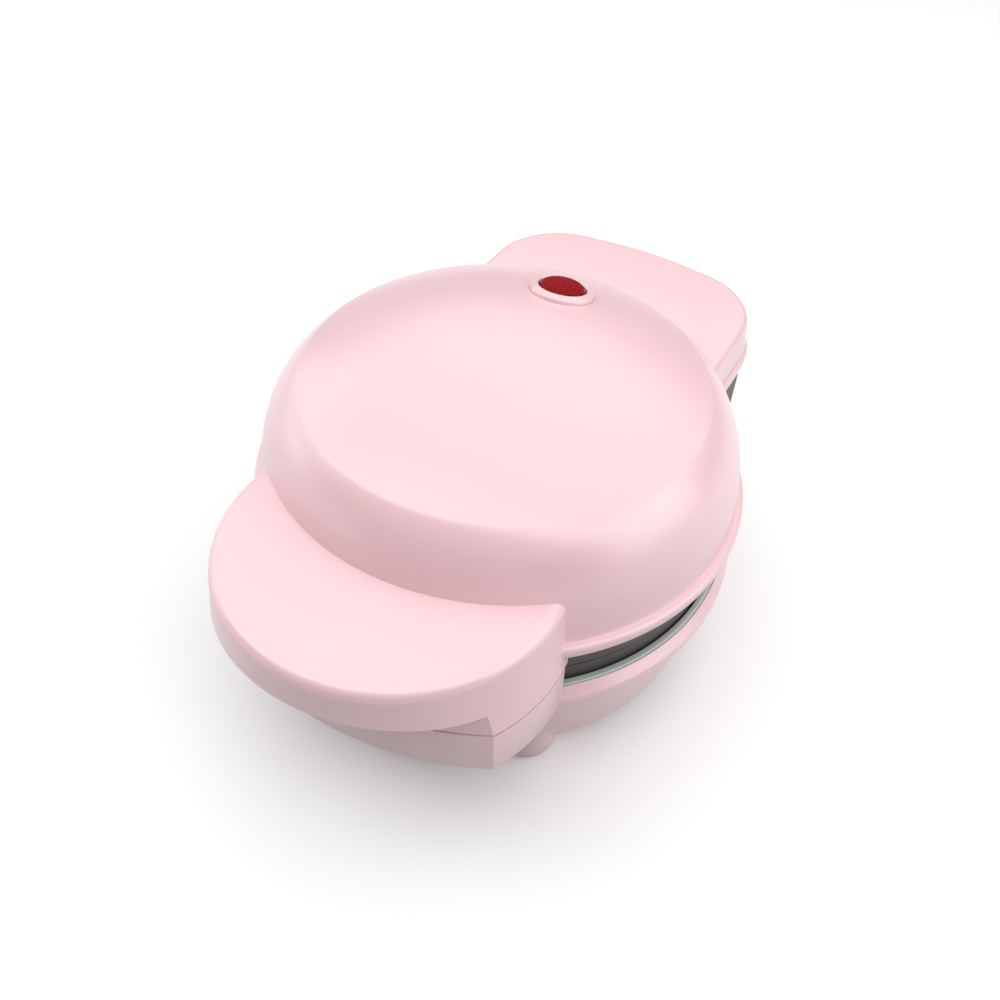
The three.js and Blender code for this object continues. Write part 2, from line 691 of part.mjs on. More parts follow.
// Everything inside the bowl and the plate's seat, kept free of the hinge seat's walls.
function baseInside() {
  const room = [
    [0, FLOOR_TOP],
    [baseWall(FLOOR_TOP, WALL), FLOOR_TOP],
    [baseWall(SPACE_TOP, WALL), SPACE_TOP],
    [0, SPACE_TOP],
  ];
  return turned(room, ROUND).add(disc(RIM.inner, SPACE_TOP - 0.2, 0, 0, 0, ROUND));
}

// A hollow leg with a recess for its pad.
function addLeg(shell, x, y) {
  const { end, bottom, top, pad, padThick } = FOOT;
  const root = BASE.bottom + 1.6;
  const leg = turned([[0, end], [bottom - 1, end], [bottom, end + 1], [top, root], [0, root]], 24, x, y);
  const recess = disc(pad + GAP, end - 1, end + padThick - 0.4, x, y);
  const core = disc(bottom - WALL - 0.6, end + 3, FLOOR_TOP + 1, x, y, 16);
  return cut(shell.add(leg), recess, core);
}

// A post that a plate screw passes from below, its head sunk in the floor.
function addScrewPost(shell, degrees) {
  const [x, y] = onCircle(SCREW_CIRCLE, degrees);
  const post = disc(BOSS + 0.6, BASE.bottom + 0.5, LOWER_BACK - SHIELD.level - 1.2, x, y, 14);
  const bore = disc(SCREW.shank + 0.5, BASE.bottom - 1, RIM.foot, x, y, 10);
  const sink = disc(SCREW.head + 0.7, BASE.bottom - 1, BASE.bottom + 2.6, x, y, 14);
  return cut(shell.add(post), bore, sink);
}

function baseShell() {
  const glandBoss = barY(GLAND.boss, 66, GLAND.face, GLAND.z, GLAND.x);
  let shell = joined(baseBowl(), baseFrontBlock(), baseHingeSeat().subtract(baseInside()), glandBoss);
  for (const [x, y] of feet) shell = addLeg(shell, x, y);
  for (const degrees of SCREW_ANGLES) shell = addScrewPost(shell, degrees);
  const vents = [-2, -1, 0, 1, 2].map((i) => {
    const x = i * VENT.pitch;
    return block(x - VENT.half, x + VENT.half, VENT.front, VENT.rear, BASE.bottom - 1, FLOOR_TOP + 1);
  });
  const wirePass = barY(5, 54, 63.6, -29.6, 0, 16);
  const wireUp = disc(LOOM + 1, -24, SEAT.top + 1, 0, HINGE.y - 0.2, 16);
  const glandHole = barY(GLAND.radius + GAP, 64.6, 80, GLAND.z, GLAND.x);
  const screwHoles = [-1, 1].map((side) =>
    disc(SCREW.hole, -24, SEAT.top + 1, side * HOUSING_SCREW.x, HOUSING_SCREW.y, 12),
  );
  return piece("base_shell", cut(shell, ...vents, wirePass, wireUp, glandHole, ...screwHoles), PINK);
}

function footPads() {
  return feet.map(([x, y], i) =>
    piece(
      `foot_pad_${i + 1}`,
      disc(FOOT.pad, FOOT.end - 0.8, FOOT.end + FOOT.padThick - 0.4 - GAP, x, y, 24),
      RUBBER,
    ),
  );
}

function trimRing() {
  const { inner, outer, top, bottom } = RING;
  const sheet = outer - 0.7;
  const profile = [[inner, top - 0.8], [inner, top], [outer - 0.2, top], [outer, bottom], [sheet, bottom]];
  return piece("plate_trim_ring", turned([...profile, [sheet, top - 0.8]], ROUND), TRIM_METAL);
}

function lowerPlateScrews() {
  return SCREW_ANGLES.map((degrees, i) => {
    const [x, y] = onCircle(SCREW_CIRCLE, degrees);
    const low = BASE.bottom + 0.4;
    const head = turned([[0, low], [2.4, low], [3.3, low + 0.8], [3.3, low + 1.9], [0, low + 1.9]], 16, x, y);
    const shank = disc(SCREW.shank, low + 1, LOWER_BACK - 1.6, x, y, 12);
    return piece(`lower_plate_screw_${i + 1}`, head.add(shank), STEEL);
  });
}

function cordGland() {
  const { x, face, z, radius, bore } = GLAND;
  const flange = barY(radius + 1.4, face + GAP, face + 1.6, z, x);
  const barrel = barY(radius, face - 6, face + 1, z, x);
  return piece("cord_gland", cut(joined(flange, barrel), barY(bore, face - 8, face + 5, z, x)), HINGE_GREY);
}

// ---------------------------------------------------------------- hinge
function hingeHousing() {
  const { radius, halfLength, knuckle, knuckleEnd, waist, y, z } = HINGE;
  const foot = SEAT.top + GAP;
  const body = [
    barX(WAIST_RADIUS, -waist - 0.2, waist + 0.2, y, z, 24),
    block(-halfLength + 0.6, halfLength - 0.6, y - 5, y + 4, foot, z - 4),
    block(-waist, waist, y - 5, y + 4, foot, z),
  ];
  for (const side of [-1, 1]) {
    const near = side > 0 ? waist : -halfLength;
    body.push(barX(radius, near, near + halfLength - waist, y, z, 28));
    body.push(block(near, near + halfLength - waist, y - 5, y + radius, foot, z));
  }
  const slots = [-1, 1].map((side) => {
    const near = (side > 0 ? knuckle : -knuckleEnd) - GAP;
    return block(near, near + knuckleEnd - knuckle + 2 * GAP, y - 20, y + 20, z - radius - 0.5, z + 20);
  });
  // The wires pass the hinge in its middle: a room about the axis, open upwards and rearwards for the swing
  // of the lid's wires, and downwards to the base.
  const room = barX(LOOM + 1.5, -4, 4, y, z, 20);
  const swing = block(-3.6, 3.6, y - 3.6, y + 20, z - 3.6, z + 20);
  const down = disc(LOOM + 0.9, foot - 1, z, 0, y, 16);
  const screwHoles = [-1, 1].map((side) =>
    disc(1.7, foot - 1, HOUSING_SCREW.top + 0.4, side * HOUSING_SCREW.x, HOUSING_SCREW.y, 12),
  );
  const bores = [-1, 1].map((side) => {
    const near = side > 0 ? PIN.start : -PIN.end;
    return barX(PIN.bore, near - GAP, near + PIN.end - PIN.start + GAP, y, z, 20);
  });
  const shape = wasm.Manifold.union(body);
  return piece("hinge_housing", cut(shape, ...slots, room, swing, down, ...screwHoles, ...bores), HINGE_GREY);
}

function hingePins() {
  return [-1, 1].map((side) => {
    const ends = [side * PIN.start, side * PIN.end];
    const pin = barX(PIN.radius, Math.min(...ends), Math.max(...ends), HINGE.y, HINGE.z, 20);
    return piece(side < 0 ? "hinge_pin_left" : "hinge_pin_right", pin, STEEL);
  });
}

function hingeHousingScrews() {
  const seat = SEAT.top - WALL - GAP;
  return [-1, 1].map((side, i) => {
    const x = side * HOUSING_SCREW.x;
    const head = disc(SCREW.head, seat - 1.8, seat, x, HOUSING_SCREW.y, 14);
    const shank = disc(SCREW.shank, seat - 1, HOUSING_SCREW.top, x, HOUSING_SCREW.y, 12);
    return piece(`hinge_housing_screw_${i + 1}`, head.add(shank), STEEL);
  });
}

// ---------------------------------------------------------------- assembly
const machine = new THREE.Group();
machine.position.set(0, LID_AXIS_Y, BEAD_HEIGHT);
machine.add(
  lidShell(),
  lidRearCover(),
  ...coverScrews(),
  lidHingeBracket(),
  lampLens(),
  neonLamp(),
  lampHolder(),
  plate("upper_plate", UPPER),
  element("upper_element", UPPER_BACK, 1),
  heatShield("upper_heat_shield", UPPER_BACK, 1, 57),
  ...upperPlateScrews(),
  thermostat(),
  lidLoom(),
  baseShell(),
  ...footPads(),
  trimRing(),
  plate("lower_plate", LOWER),
  element("lower_element", LOWER_BACK, -1),
  heatShield("lower_heat_shield", LOWER_BACK, -1, 56.6),
  ...lowerPlateScrews(),
  thermalFuse(),
  terminalBlock(),
  baseLoom(),
  cordGland(),
  hingeHousing(),
  ...hingePins(),
  ...hingeHousingScrews(),
);

const waffleMaker = new THREE.Group();
waffleMaker.add(machine);

export default waffleMaker;
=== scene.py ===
"""Looks of a pale pink round mini waffle maker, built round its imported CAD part.

The pieces are made in millimetres with the origin on the lid's axis, at the middle height of the bead
round the lid's rim. +Y is towards the hinge and +Z is up. place() moves each finished piece to the
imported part's frame, which is in metres with the table at zero.
"""

import math

import bpy
from mathutils import Matrix, Vector


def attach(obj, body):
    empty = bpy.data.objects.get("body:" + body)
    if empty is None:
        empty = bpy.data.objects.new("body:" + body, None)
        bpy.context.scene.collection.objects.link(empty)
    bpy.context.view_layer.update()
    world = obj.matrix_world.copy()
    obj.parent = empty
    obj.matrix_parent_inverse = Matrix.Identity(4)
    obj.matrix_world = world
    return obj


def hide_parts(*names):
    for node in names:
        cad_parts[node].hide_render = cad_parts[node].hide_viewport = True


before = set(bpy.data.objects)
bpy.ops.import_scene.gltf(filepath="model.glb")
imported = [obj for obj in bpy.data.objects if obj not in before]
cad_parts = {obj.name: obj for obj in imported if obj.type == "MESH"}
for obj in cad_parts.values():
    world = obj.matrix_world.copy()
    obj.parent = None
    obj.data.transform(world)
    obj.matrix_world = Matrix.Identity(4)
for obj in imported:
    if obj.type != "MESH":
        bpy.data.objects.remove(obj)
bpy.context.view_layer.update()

# ---------------------------------------------------------------- driving dimensions, in millimetres
MM = 0.001
BEAD_HEIGHT = 54.5  # bead's middle above the table
LID_AXIS_Y = -1.6  # lid axis, ahead of the middle of the overall length
WALL = 2.2
GAP = 0.3
ROUND = 240  # segments round the large turned parts

DOME_SPHERE = 111.0
DOME_EDGE = (50.5, 28.6)  # radius and height where the cap meets the shoulder
FLANK = {"centre": 30.0, "reach": 31.4, "height": 35.4, "foot": -1.3, "power": 2.5}
BEAD = {"radius": 63.5, "bottom": -2.0, "top": 1.4, "inner": 59.9}

VISOR_Y = -49.0  # axis of the visor's round front
VISOR_TOP = 14.0
VISOR_EDGE = 3.0  # rounding between the top and the wall
VISOR_PLATE = 2.6  # thickness of the top
VISOR_RADIUS = 41.0  # at the foot of the rounded edge
VISOR_FOOT = 43.0  # at the parting level
PARTING = -6.0  # where the lid's front block meets the base's
PARTING_STEP = 0.3  # shadow groove under the parting
FRONT_WALL = 79.0  # front block's face, a circle about the lid axis
ARCH = {"middle": 5.0, "end": 1.0, "half_width": 38.0}  # lower edge of the visor's skirt

HOUSING = {"half": 39.6, "rear": 92.3, "corner": 22.7, "bow": 1.6, "top": 17.0, "foot": 7.3,
           "flare": 1.0}
COVER = {"bottom": 3.4, "top": 7.0, "proud": 1.9, "floor": 1.8}
COVER_SCREW = (26.0, 84.0)  # x on either side, and y

LAMP_Y = 28.4
LAMP_COLLAR = 8.3
LAMP_RISE = 1.4  # collar above the dome
LAMP_BORE = 6.3
LENS_RIM = 1.0  # height of the lens's edge above the dome
LENS_DOME = 2.1  # rise of the lens from its edge to its middle
LENS_PRISM = 0.75  # pitch of the prisms
LENS_RIDGE = 0.08  # half the prisms' depth, for each of the two directions

CAVITY = 52.0  # radius of the waffle
CAVITY_DEPTH = 8.5
PLATE_WEB = 2.8  # metal behind the cavity
PLATE_SKIRT = 2.2
PEG = {"pitch": 13.0, "base": 4.5, "tip": 3.4, "height": 5.4, "reach": 46.0}
UPPER_LIP = -14.6
LOWER_LIP = -15.1
PLATE_RADIUS = 59.6
SCREW_CIRCLE = 24.0  # plate screws' circle
SCREW_ANGLES = (90, 210, 330)
# Edges of the plates as [outward from the radius, away from the lip]: the upper has a groove and a step.
UPPER_RIM = [(0, 4.2), (-0.6, 4.3), (-0.6, 5.0), (0.4, 5.1), (0.4, 10.6), (0.8, 10.6), (0.8, 12.2),
             (-2.2, 12.2)]
LOWER_RIM = [(0, 7), (-2.2, 7)]
RING = {"inner": 59.75, "outer": 61.2, "top": -15.0, "bottom": -19.3}

RIM = {"inner": 61.3, "top": -15.6, "radius": 63.5, "level": -18.2, "foot": -20.0}
BASE = {"wall_top": 62.2, "wall_foot": 56.6, "bottom": -45.2, "floor": 2.2}
FOOT = {"x": 31.0, "y": 37.3, "top": 9.8, "bottom": 8.4, "pad": 6.6, "end": -53.7}
SEAT = {"half": 38.0, "rear": 72.5, "top": -16.8, "bottom": -37.0, "corner": 8.0}
HINGE = {"y": 68.0, "z": -6.0, "radius": 7.8, "half": 39.6, "knuckle": 20.3, "end": 29.7, "waist": 17.4}
HINGE_SCREW = (9.5, 66.0)  # x on either side, and y
PIN_BORE = 2.7
SCREW_HOLE = 1.8
GLAND = {"x": 14.0, "face": 72.2, "z": -29.5, "radius": 5.4, "bore": 3.4, "boss": 7.2}
LOOM = 2.35  # radius of the wire bundles
LOOM_HOLE = 3.4

FLOOR_RADIUS = 0.85  # of the studio floor, in metres


# ---------------------------------------------------------------- mesh helpers
def new_object(name, points, faces):
    """A mesh object from points in millimetres."""
    mesh = bpy.data.meshes.new(name)
    mesh.from_pydata([tuple(p) for p in points], [], faces)
    mesh.validate()
    made = bpy.data.objects.new(name, mesh)
    bpy.context.collection.objects.link(made)
    return made


def turned(name, profile, segments=48, x=0.0, y=0.0):
    """A closed profile of (radius, z) points turned about the z axis through (x, y)."""
    area = sum(r * profile[(i + 1) % len(profile)][1] - profile[(i + 1) % len(profile)][0] * z
               for i, (r, z) in enumerate(profile))
    outline = list(profile) if area > 0 else list(profile)[::-1]
    points = []
    rings = []
    for radius, z in outline:
        if radius < 1e-6:
            rings.append([len(points)] * segments)
            points.append((x, y, z))
            continue
        rings.append(list(range(len(points), len(points) + segments)))
        for i in range(segments):
            angle = 2 * math.pi * i / segments
            points.append((x + radius * math.cos(angle), y + radius * math.sin(angle), z))
    faces = []
    for low, high in zip(rings, rings[1:] + rings[:1]):
        for i in range(segments):
            j = (i + 1) % segments
            corners = [low[i], low[j], high[j], high[i]]
            face = [c for k, c in enumerate(corners) if c != corners[k - 1]]
            if len(face) > 2:
                faces.append(face)
    return new_object(name, points, faces)


def disc(radius, bottom, top, x=0.0, y=0.0, segments=48):
    return turned("disc", [(0, bottom), (radius, bottom), (radius, top), (0, top)], segments, x, y)


def block(x0, x1, y0, y1, z0, z1):
    corners = [(x, y, z) for z in (z0, z1) for y in (y0, y1) for x in (x0, x1)]
    faces = [(0, 2, 3, 1), (4, 5, 7, 6), (0, 1, 5, 4), (2, 6, 7, 3), (0, 4, 6, 2), (1, 3, 7, 5)]
    return new_object("block", corners, faces)


def lofted(name, levels):
    """A closed solid through outlines of equal point count, lists of (x, y, z) from the bottom up."""
    count = len(levels[0])
    points = [p for level in levels for p in level]
    faces = [list(range(count))[::-1], list(range(len(points) - count, len(points)))]
    for start in range(0, len(points) - count, count):
        for i in range(count):
            j = (i + 1) % count
            faces.append([start + i, start + j, start + count + j, start + count + i])
    return new_object(name, points, faces)


def bar(radius, start, end, segments=48):
    """A round bar between two points."""
    start, end = Vector(start), Vector(end)
    made = disc(radius, 0, (end - start).length, segments=segments)
    turn = (end - start).to_track_quat("Z", "Y").to_matrix().to_4x4()
    made.data.transform(Matrix.Translation(start) @ turn)
    return made


def hose(name, radius, route, steps, sides=20):
    """A round tube along a smooth line through the route's points."""
    points = [Vector(p) for p in route]
    ends = [points[0] * 2 - points[1]] + points + [points[-1] * 2 - points[-2]]
    line = []
    for i in range(len(points) - 1):
        a, b, c, d = ends[i:i + 4]
        for k in range(steps):
            t = k / steps
            line.append(0.5 * (2 * b + (c - a) * t + (2 * a - 5 * b + 4 * c - d) * t * t
                               + (3 * b - a - 3 * c + d) * t ** 3))
    line.append(points[-1])
    side = Vector((1, 0, 0)) if abs((line[1] - line[0]).normalized().x) < 0.9 else Vector((0, 0, 1))
    levels = []
    for i, here in enumerate(line):
        along = (line[min(i + 1, len(line) - 1)] - line[max(i - 1, 0)]).normalized()
        side = (side - along * side.dot(along)).normalized()
        other = along.cross(side)
        levels.append([here + radius * (side * math.cos(a) + other * math.sin(a))
                       for a in (2 * math.pi * k / sides for k in range(sides))])
    return lofted(name, levels)


def carve(target, operation, *tools):
    """Joins the tools to the target or cuts them out of it, and removes them."""
    for tool in tools:
        step = target.modifiers.new(operation, "BOOLEAN")
        step.operation = operation
        step.solver = "MANIFOLD"
        step.object = tool
    graph = bpy.context.evaluated_depsgraph_get()
    old = target.data
    mesh = bpy.data.meshes.new_from_object(target.evaluated_get(graph))
    target.modifiers.clear()
    target.data = mesh
    bpy.data.meshes.remove(old)
    for tool in tools:
        bpy.data.objects.remove(tool)
    return target


def cut(target, *tools):
    return carve(target, "DIFFERENCE", *tools)


def joined(target, *tools):
    return carve(target, "UNION", *tools)


def shared(target, *tools):
    return carve(target, "INTERSECT", *tools)


def together(target, *others):
    """Puts separate solids into one mesh without joining their surfaces."""
    points = [v.co.copy() for v in target.data.vertices]
    faces = [list(p.vertices) for p in target.data.polygons]
    for other in others:
        first = len(points)
        points += [v.co.copy() for v in other.data.vertices]
        faces += [[first + v for v in p.vertices] for p in other.data.polygons]
        bpy.data.objects.remove(other)
    mesh = bpy.data.meshes.new(target.name)
    mesh.from_pydata(points, [], faces)
    target.data = mesh
    return target


def place(made, name, body, material, replaces, crease=32):
    """Moves a finished piece to the part's frame, and gives it its name, finish, body and CAD nodes."""
    made.name = name
    made.data.name = name
    made.data.transform(Matrix.Scale(MM, 4) @ Matrix.Translation((0, LID_AXIS_Y, BEAD_HEIGHT)))
    made.data.materials.clear()
    made.data.materials.append(material)
    made.data.shade_smooth()
    made.data.set_sharp_from_angle(angle=math.radians(crease))
    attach(made, body)
    if replaces:
        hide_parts(*replaces)
    return made


def plate_screws():
    """The (x, y) places of a waffle plate's screws."""
    turns = [math.radians(degrees) for degrees in SCREW_ANGLES]
    return [(SCREW_CIRCLE * math.cos(turn), SCREW_CIRCLE * math.sin(turn)) for turn in turns]


def arc(centre, radius, first, last, steps):
    """Points of an arc in the (radius, z) plane, angles in degrees."""
    return [(centre[0] + radius * math.cos(math.radians(first + (last - first) * i / steps)),
             centre[1] + radius * math.sin(math.radians(first + (last - first) * i / steps)))
            for i in range(steps + 1)]


# ---------------------------------------------------------------- materials
def node(tree, kind, place_at, **values):
    made = tree.nodes.new(kind)
    made.location = place_at
    for key, value in values.items():
        setattr(made, key, value)
    return made


def surface(name, colour, roughness, metallic=0.0, coat=0.0, specular=0.5, tint=0.03, spread=0.06,
            grain=900.0, depth=0.02, patch=45.0, detail=4.0, bump_distance=0.0002):
    """A procedural finish: slow drifts of tone and gloss, and a fine grain in the normal."""
    material = bpy.data.materials.new(name)
    material.use_nodes = True
    tree = material.node_tree
    shader = tree.nodes["Principled BSDF"]
    shader.inputs["Metallic"].default_value = metallic
    shader.inputs["Coat Weight"].default_value = coat
    shader.inputs["Coat Roughness"].default_value = 0.3
    shader.inputs["Specular IOR Level"].default_value = specular
    where = node(tree, "ShaderNodeTexCoord", (-1100, 0))
    drift = node(tree, "ShaderNodeTexNoise", (-850, 250))
    drift.inputs["Scale"].default_value = patch
    drift.inputs["Detail"].default_value = detail
    tree.links.new(where.outputs["Object"], drift.inputs["Vector"])
    tones = node(tree, "ShaderNodeValToRGB", (-550, 250))
    tones.color_ramp.interpolation = "EASE"
    tones.color_ramp.elements[0].position = 0.2
    tones.color_ramp.elements[1].position = 0.8
    tones.color_ramp.elements[0].color = tuple(c * (1 - tint) for c in colour) + (1,)
    tones.color_ramp.elements[1].color = tuple(min(1.0, c * (1 + tint)) for c in colour) + (1,)
    tree.links.new(drift.outputs["Fac"], tones.inputs["Fac"])
    tree.links.new(tones.outputs["Color"], shader.inputs["Base Color"])
    gloss = node(tree, "ShaderNodeMapRange", (-550, -50))
    gloss.interpolation_type = "SMOOTHSTEP"
    gloss.inputs["From Min"].default_value = 0.2
    gloss.inputs["From Max"].default_value = 0.8
    gloss.inputs["To Min"].default_value = max(0.02, roughness - spread / 2)
    gloss.inputs["To Max"].default_value = roughness + spread / 2
    tree.links.new(drift.outputs["Fac"], gloss.inputs["Value"])
    tree.links.new(gloss.outputs["Result"], shader.inputs["Roughness"])
    fine = node(tree, "ShaderNodeTexNoise", (-850, -300))
    fine.inputs["Scale"].default_value = grain
    fine.inputs["Detail"].default_value = 3.0
    tree.links.new(where.outputs["Object"], fine.inputs["Vector"])
    bump = node(tree, "ShaderNodeBump", (-300, -300))
    bump.inputs["Strength"].default_value = depth
    bump.inputs["Distance"].default_value = bump_distance
    tree.links.new(fine.outputs["Fac"], bump.inputs["Height"])
    tree.links.new(bump.outputs["Normal"], shader.inputs["Normal"])
    return material


def prism_plastic():
    """Clear red plastic, with painted highlight on the ridge tops of its prism grid and painted shade in
    the grooves between them.
    """
    material = surface("lens_red", (0.4, 0.006, 0.01), 0.16, specular=0.08, spread=0.05)
    tree = material.node_tree
    where = node(tree, "ShaderNodeTexCoord", (-1700, 700))
    painted_crest_light = None
    for turn in (45, -45):
        mapping = node(tree, "ShaderNodeMapping", (-1500, 700 + 4 * turn))
        mapping.inputs["Rotation"].default_value = (0, 0, math.radians(turn))
        tree.links.new(where.outputs["Object"], mapping.inputs["Vector"])
        wave = node(tree, "ShaderNodeTexWave", (-1300, 700 + 4 * turn))
        # A wave texture repeats every 2 pi / 20 of its scaled length.
        wave.inputs["Scale"].default_value = 2 * math.pi / (20 * LENS_PRISM * MM)
        tree.links.new(mapping.outputs["Vector"], wave.inputs["Vector"])
        if painted_crest_light is None:
            painted_crest_light = wave.outputs["Fac"]
            continue
        crossed = node(tree, "ShaderNodeMath", (-1050, 700), operation="MULTIPLY")
        tree.links.new(painted_crest_light, crossed.inputs[0])
        tree.links.new(wave.outputs["Fac"], crossed.inputs[1])
        painted_crest_light = crossed.outputs["Value"]
    # Painted shade in the grid's grooves (dark red) and painted highlight on the ridge tops (bright
    # red).
    reds = node(tree, "ShaderNodeValToRGB", (-800, 700))
    reds.color_ramp.elements[0].color = (0.14, 0.001, 0.002, 1)
    reds.color_ramp.elements[1].color = (0.5, 0.012, 0.018, 1)
    tree.links.new(painted_crest_light, reds.inputs["Fac"])
    tree.links.new(reds.outputs["Color"], tree.nodes["Principled BSDF"].inputs["Base Color"])
    return material


PINK = surface("pink_gloss_plastic", (0.8, 0.53, 0.565), 0.32, coat=0.4, specular=1.0, tint=0.006,
               spread=0.02, grain=500, depth=0.015, patch=40, detail=2.0)
NON_STICK = surface("non_stick_coating", (0.042, 0.038, 0.035), 0.4, metallic=0.25, tint=0.25,
                    spread=0.12, grain=2600, depth=0.25)
HINGE_GREY = surface("dark_grey_plastic", (0.055, 0.055, 0.056), 0.5, tint=0.1, spread=0.1,
                     grain=3200, depth=0.3)
STEEL = surface("plated_steel", (0.58, 0.6, 0.6), 0.3, metallic=1.0, tint=0.06, spread=0.12,
                grain=1500, depth=0.05)
SHIELD = surface("shield_sheet", (0.55, 0.56, 0.56), 0.42, metallic=1.0, tint=0.08, spread=0.15,
                 grain=700, depth=0.1)
TRIM = surface("satin_trim_metal", (0.5, 0.545, 0.525), 0.38, metallic=0.35, tint=0.04, spread=0.1,
               grain=1800, depth=0.06)
ELEMENT = surface("heater_tube", (0.19, 0.165, 0.15), 0.5, metallic=1.0, tint=0.2, spread=0.2,
                  grain=1200, depth=0.2)
LENS = prism_plastic()
BULB = surface("bulb_glass", (0.85, 0.55, 0.35), 0.08, coat=0.5, tint=0.05, spread=0.04)
SILICONE = surface("silicone_sleeve", (0.7, 0.66, 0.58), 0.6, tint=0.06, spread=0.1, grain=1500,
                   depth=0.2)
CERAMIC = surface("ceramic_body", (0.78, 0.72, 0.6), 0.55, tint=0.05, spread=0.1, grain=1500,
                  depth=0.15)
NYLON = surface("natural_nylon", (0.78, 0.78, 0.74), 0.5, tint=0.03, spread=0.1, grain=1500, depth=0.1)
RUBBER = surface("grey_rubber", (0.09, 0.08, 0.078), 0.8, tint=0.12, spread=0.1, grain=2200, depth=0.4)


# ---------------------------------------------------------------- lid
SPHERE_CENTRE = DOME_EDGE[1] - math.sqrt(DOME_SPHERE ** 2 - DOME_EDGE[0] ** 2)


def cap_height(radius, inset=0.0):
    return SPHERE_CENTRE + math.sqrt((DOME_SPHERE - inset) ** 2 - radius ** 2)


def flank_radius(z, inset=0.0):
    share = max(0.0, (z - FLANK["foot"]) / (FLANK["height"] - inset)) ** FLANK["power"]
    return FLANK["centre"] + (FLANK["reach"] - inset) * (1 - share) ** (1 / FLANK["power"])


def dome_profile(inset, start, flank_steps=26, cap_steps=22, soften=0.35):
    """From the foot of the flank over the soft shoulder to the axis."""
    edge_z = DOME_EDGE[1] - inset * 0.8
    flank = []
    for i in range(flank_steps + 1):
        z = start + (edge_z - start) * math.sin(i / flank_steps * math.pi / 2) ** 0.8
        flank.append((flank_radius(z, inset), z))
    edge = flank[-1][0]
    # The shoulder's edge is a short curve between a point on the flank and one on the cap.
    before = [p for p in flank if math.dist(p, flank[-1]) > soften]
    after_radius = edge - soften * 0.88
    after = (after_radius, cap_height(after_radius, inset))
    corner = flank[-1]
    turn = []
    for i in range(1, 7):
        t = i / 7
        turn.append(tuple((1 - t) ** 2 * before[-1][k] + 2 * t * (1 - t) * corner[k] + t * t * after[k]
                          for k in (0, 1)))
    cap = []
    for i in range(cap_steps + 1):
        radius = after_radius * (1 - i / cap_steps)
        cap.append((radius, cap_height(radius, inset)))
    return before + turn + cap


def dome_outside():
    bead = [(0, BEAD["bottom"]), (61.9, BEAD["bottom"])]
    bead += arc((62.5, -1.0), 1.0, -100, -10, 6)
    bead += arc((62.3, 0.2), 1.2, 0, 84, 8)
    bead += [(61.9, BEAD["top"]), (61.62, BEAD["top"] + 0.12), (61.45, BEAD["top"] + 0.5)]
    return turned("dome", bead + dome_profile(0, BEAD["top"] + 1.0), ROUND)


def dome_inside():
    below = BEAD["bottom"] - 1
    low = [(0, below), (BEAD["inner"], below), (BEAD["inner"] - 0.7, 0)]
    return turned("hollow", low + dome_profile(WALL, 0.5, 10, 8), 120)


def visor_wall(z):
    """Radius of the visor's drafted wall about its own axis."""
    slope = (VISOR_FOOT - VISOR_RADIUS) / (VISOR_TOP - VISOR_EDGE - PARTING)
    return VISOR_RADIUS + slope * (VISOR_TOP - VISOR_EDGE - z)


def visor_body(inset, top, bottom, edge=VISOR_EDGE):
    """The visor and the block behind its skirt, turned about the visor's own axis."""
    wall = [(0, bottom), (visor_wall(bottom) - inset, bottom)]
    rounded = arc((VISOR_RADIUS - inset - edge, top - edge), edge, 0, 90, 12)
    return turned("visor", wall + rounded + [(0, top)], ROUND, 0, VISOR_Y)


def under_skirt(low):
    """Everything under the skirt's arched lower edge, ahead of the front wall."""
    half = ARCH["half_width"]
    outline = [(-50, low), (50, low), (50, ARCH["end"])]
    for i in range(49):
        x = half * (1 - i / 24)
        outline.append((x, ARCH["middle"] - (ARCH["middle"] - ARCH["end"]) * (x / half) ** 2))
    outline.append((-50, ARCH["end"]))
    front = [(x, -100, z) for x, z in outline]
    back = [(x, -40, z) for x, z in outline]
    slab = lofted("slab", [back, front])
    return cut(slab, disc(FRONT_WALL, low - 1, VISOR_TOP, segments=ROUND))


def lid_visor():
    """The visor with its finger recess, and the hollow block between the recess and the bead."""
    roof = VISOR_TOP - VISOR_PLATE
    low = PARTING - 3
    body = visor_body(0, VISOR_TOP, PARTING)
    recess = visor_body(WALL, roof, low, 2.0)
    cut(recess, disc(FRONT_WALL, low - 1, VISOR_TOP, segments=ROUND))
    hollow = visor_body(WALL, roof, low, 1.0)
    shared(hollow, disc(FRONT_WALL - WALL, low, roof, segments=120))
    cut(hollow, disc(BEAD["radius"] + 0.2, low - 1, VISOR_TOP, segments=120))
    return cut(body, recess, hollow, under_skirt(low), disc(61.2, low, BEAD["bottom"], segments=120))


def housing_outline(offset, z, front=38.0):
    """The rounded rear housing seen from above, at one level."""
    half = HOUSING["half"] + offset
    corner = HOUSING["corner"] + offset
    straight = half - corner
    corner_y = HOUSING["rear"] - HOUSING["bow"] - HOUSING["corner"]
    right = [(half, front)]
    for i in range(25):
        angle = i / 24 * math.pi / 2
        right.append((straight + corner * math.cos(angle), corner_y + corner * math.sin(angle)))
    for i in range(1, 8):
        share = 1 - i / 8
        right.append((straight * share, HOUSING["rear"] + offset - HOUSING["bow"] * share ** 2))
    left = [(-x, y) for x, y in reversed(right)]
    return [(x, y, z) for x, y in right + [(0, HOUSING["rear"] + offset)] + left]


def lid_housing():
    top, foot, flare = HOUSING["top"], HOUSING["foot"], HOUSING["flare"]
    rounding = [(top - 2.0 + 2.0 * math.sin(a), -2.0 + 2.0 * math.cos(a))
                for a in (i / 8 * math.pi / 2 for i in range(9))]
    levels = [(foot, flare - 0.3), (foot + 0.3, flare)] + rounding
    outer = lofted("housing", [housing_outline(offset, z) for z, offset in levels])
    inside = [(foot - 1, flare - WALL), (top - WALL - 0.6, 0.1 - WALL), (top - WALL, -0.9 - WALL)]
    inner = lofted("room", [housing_outline(offset, z) for z, offset in inside])
    inner = cut(inner, disc(60.8, foot - 2, top, segments=120))
    return cut(outer, inner)


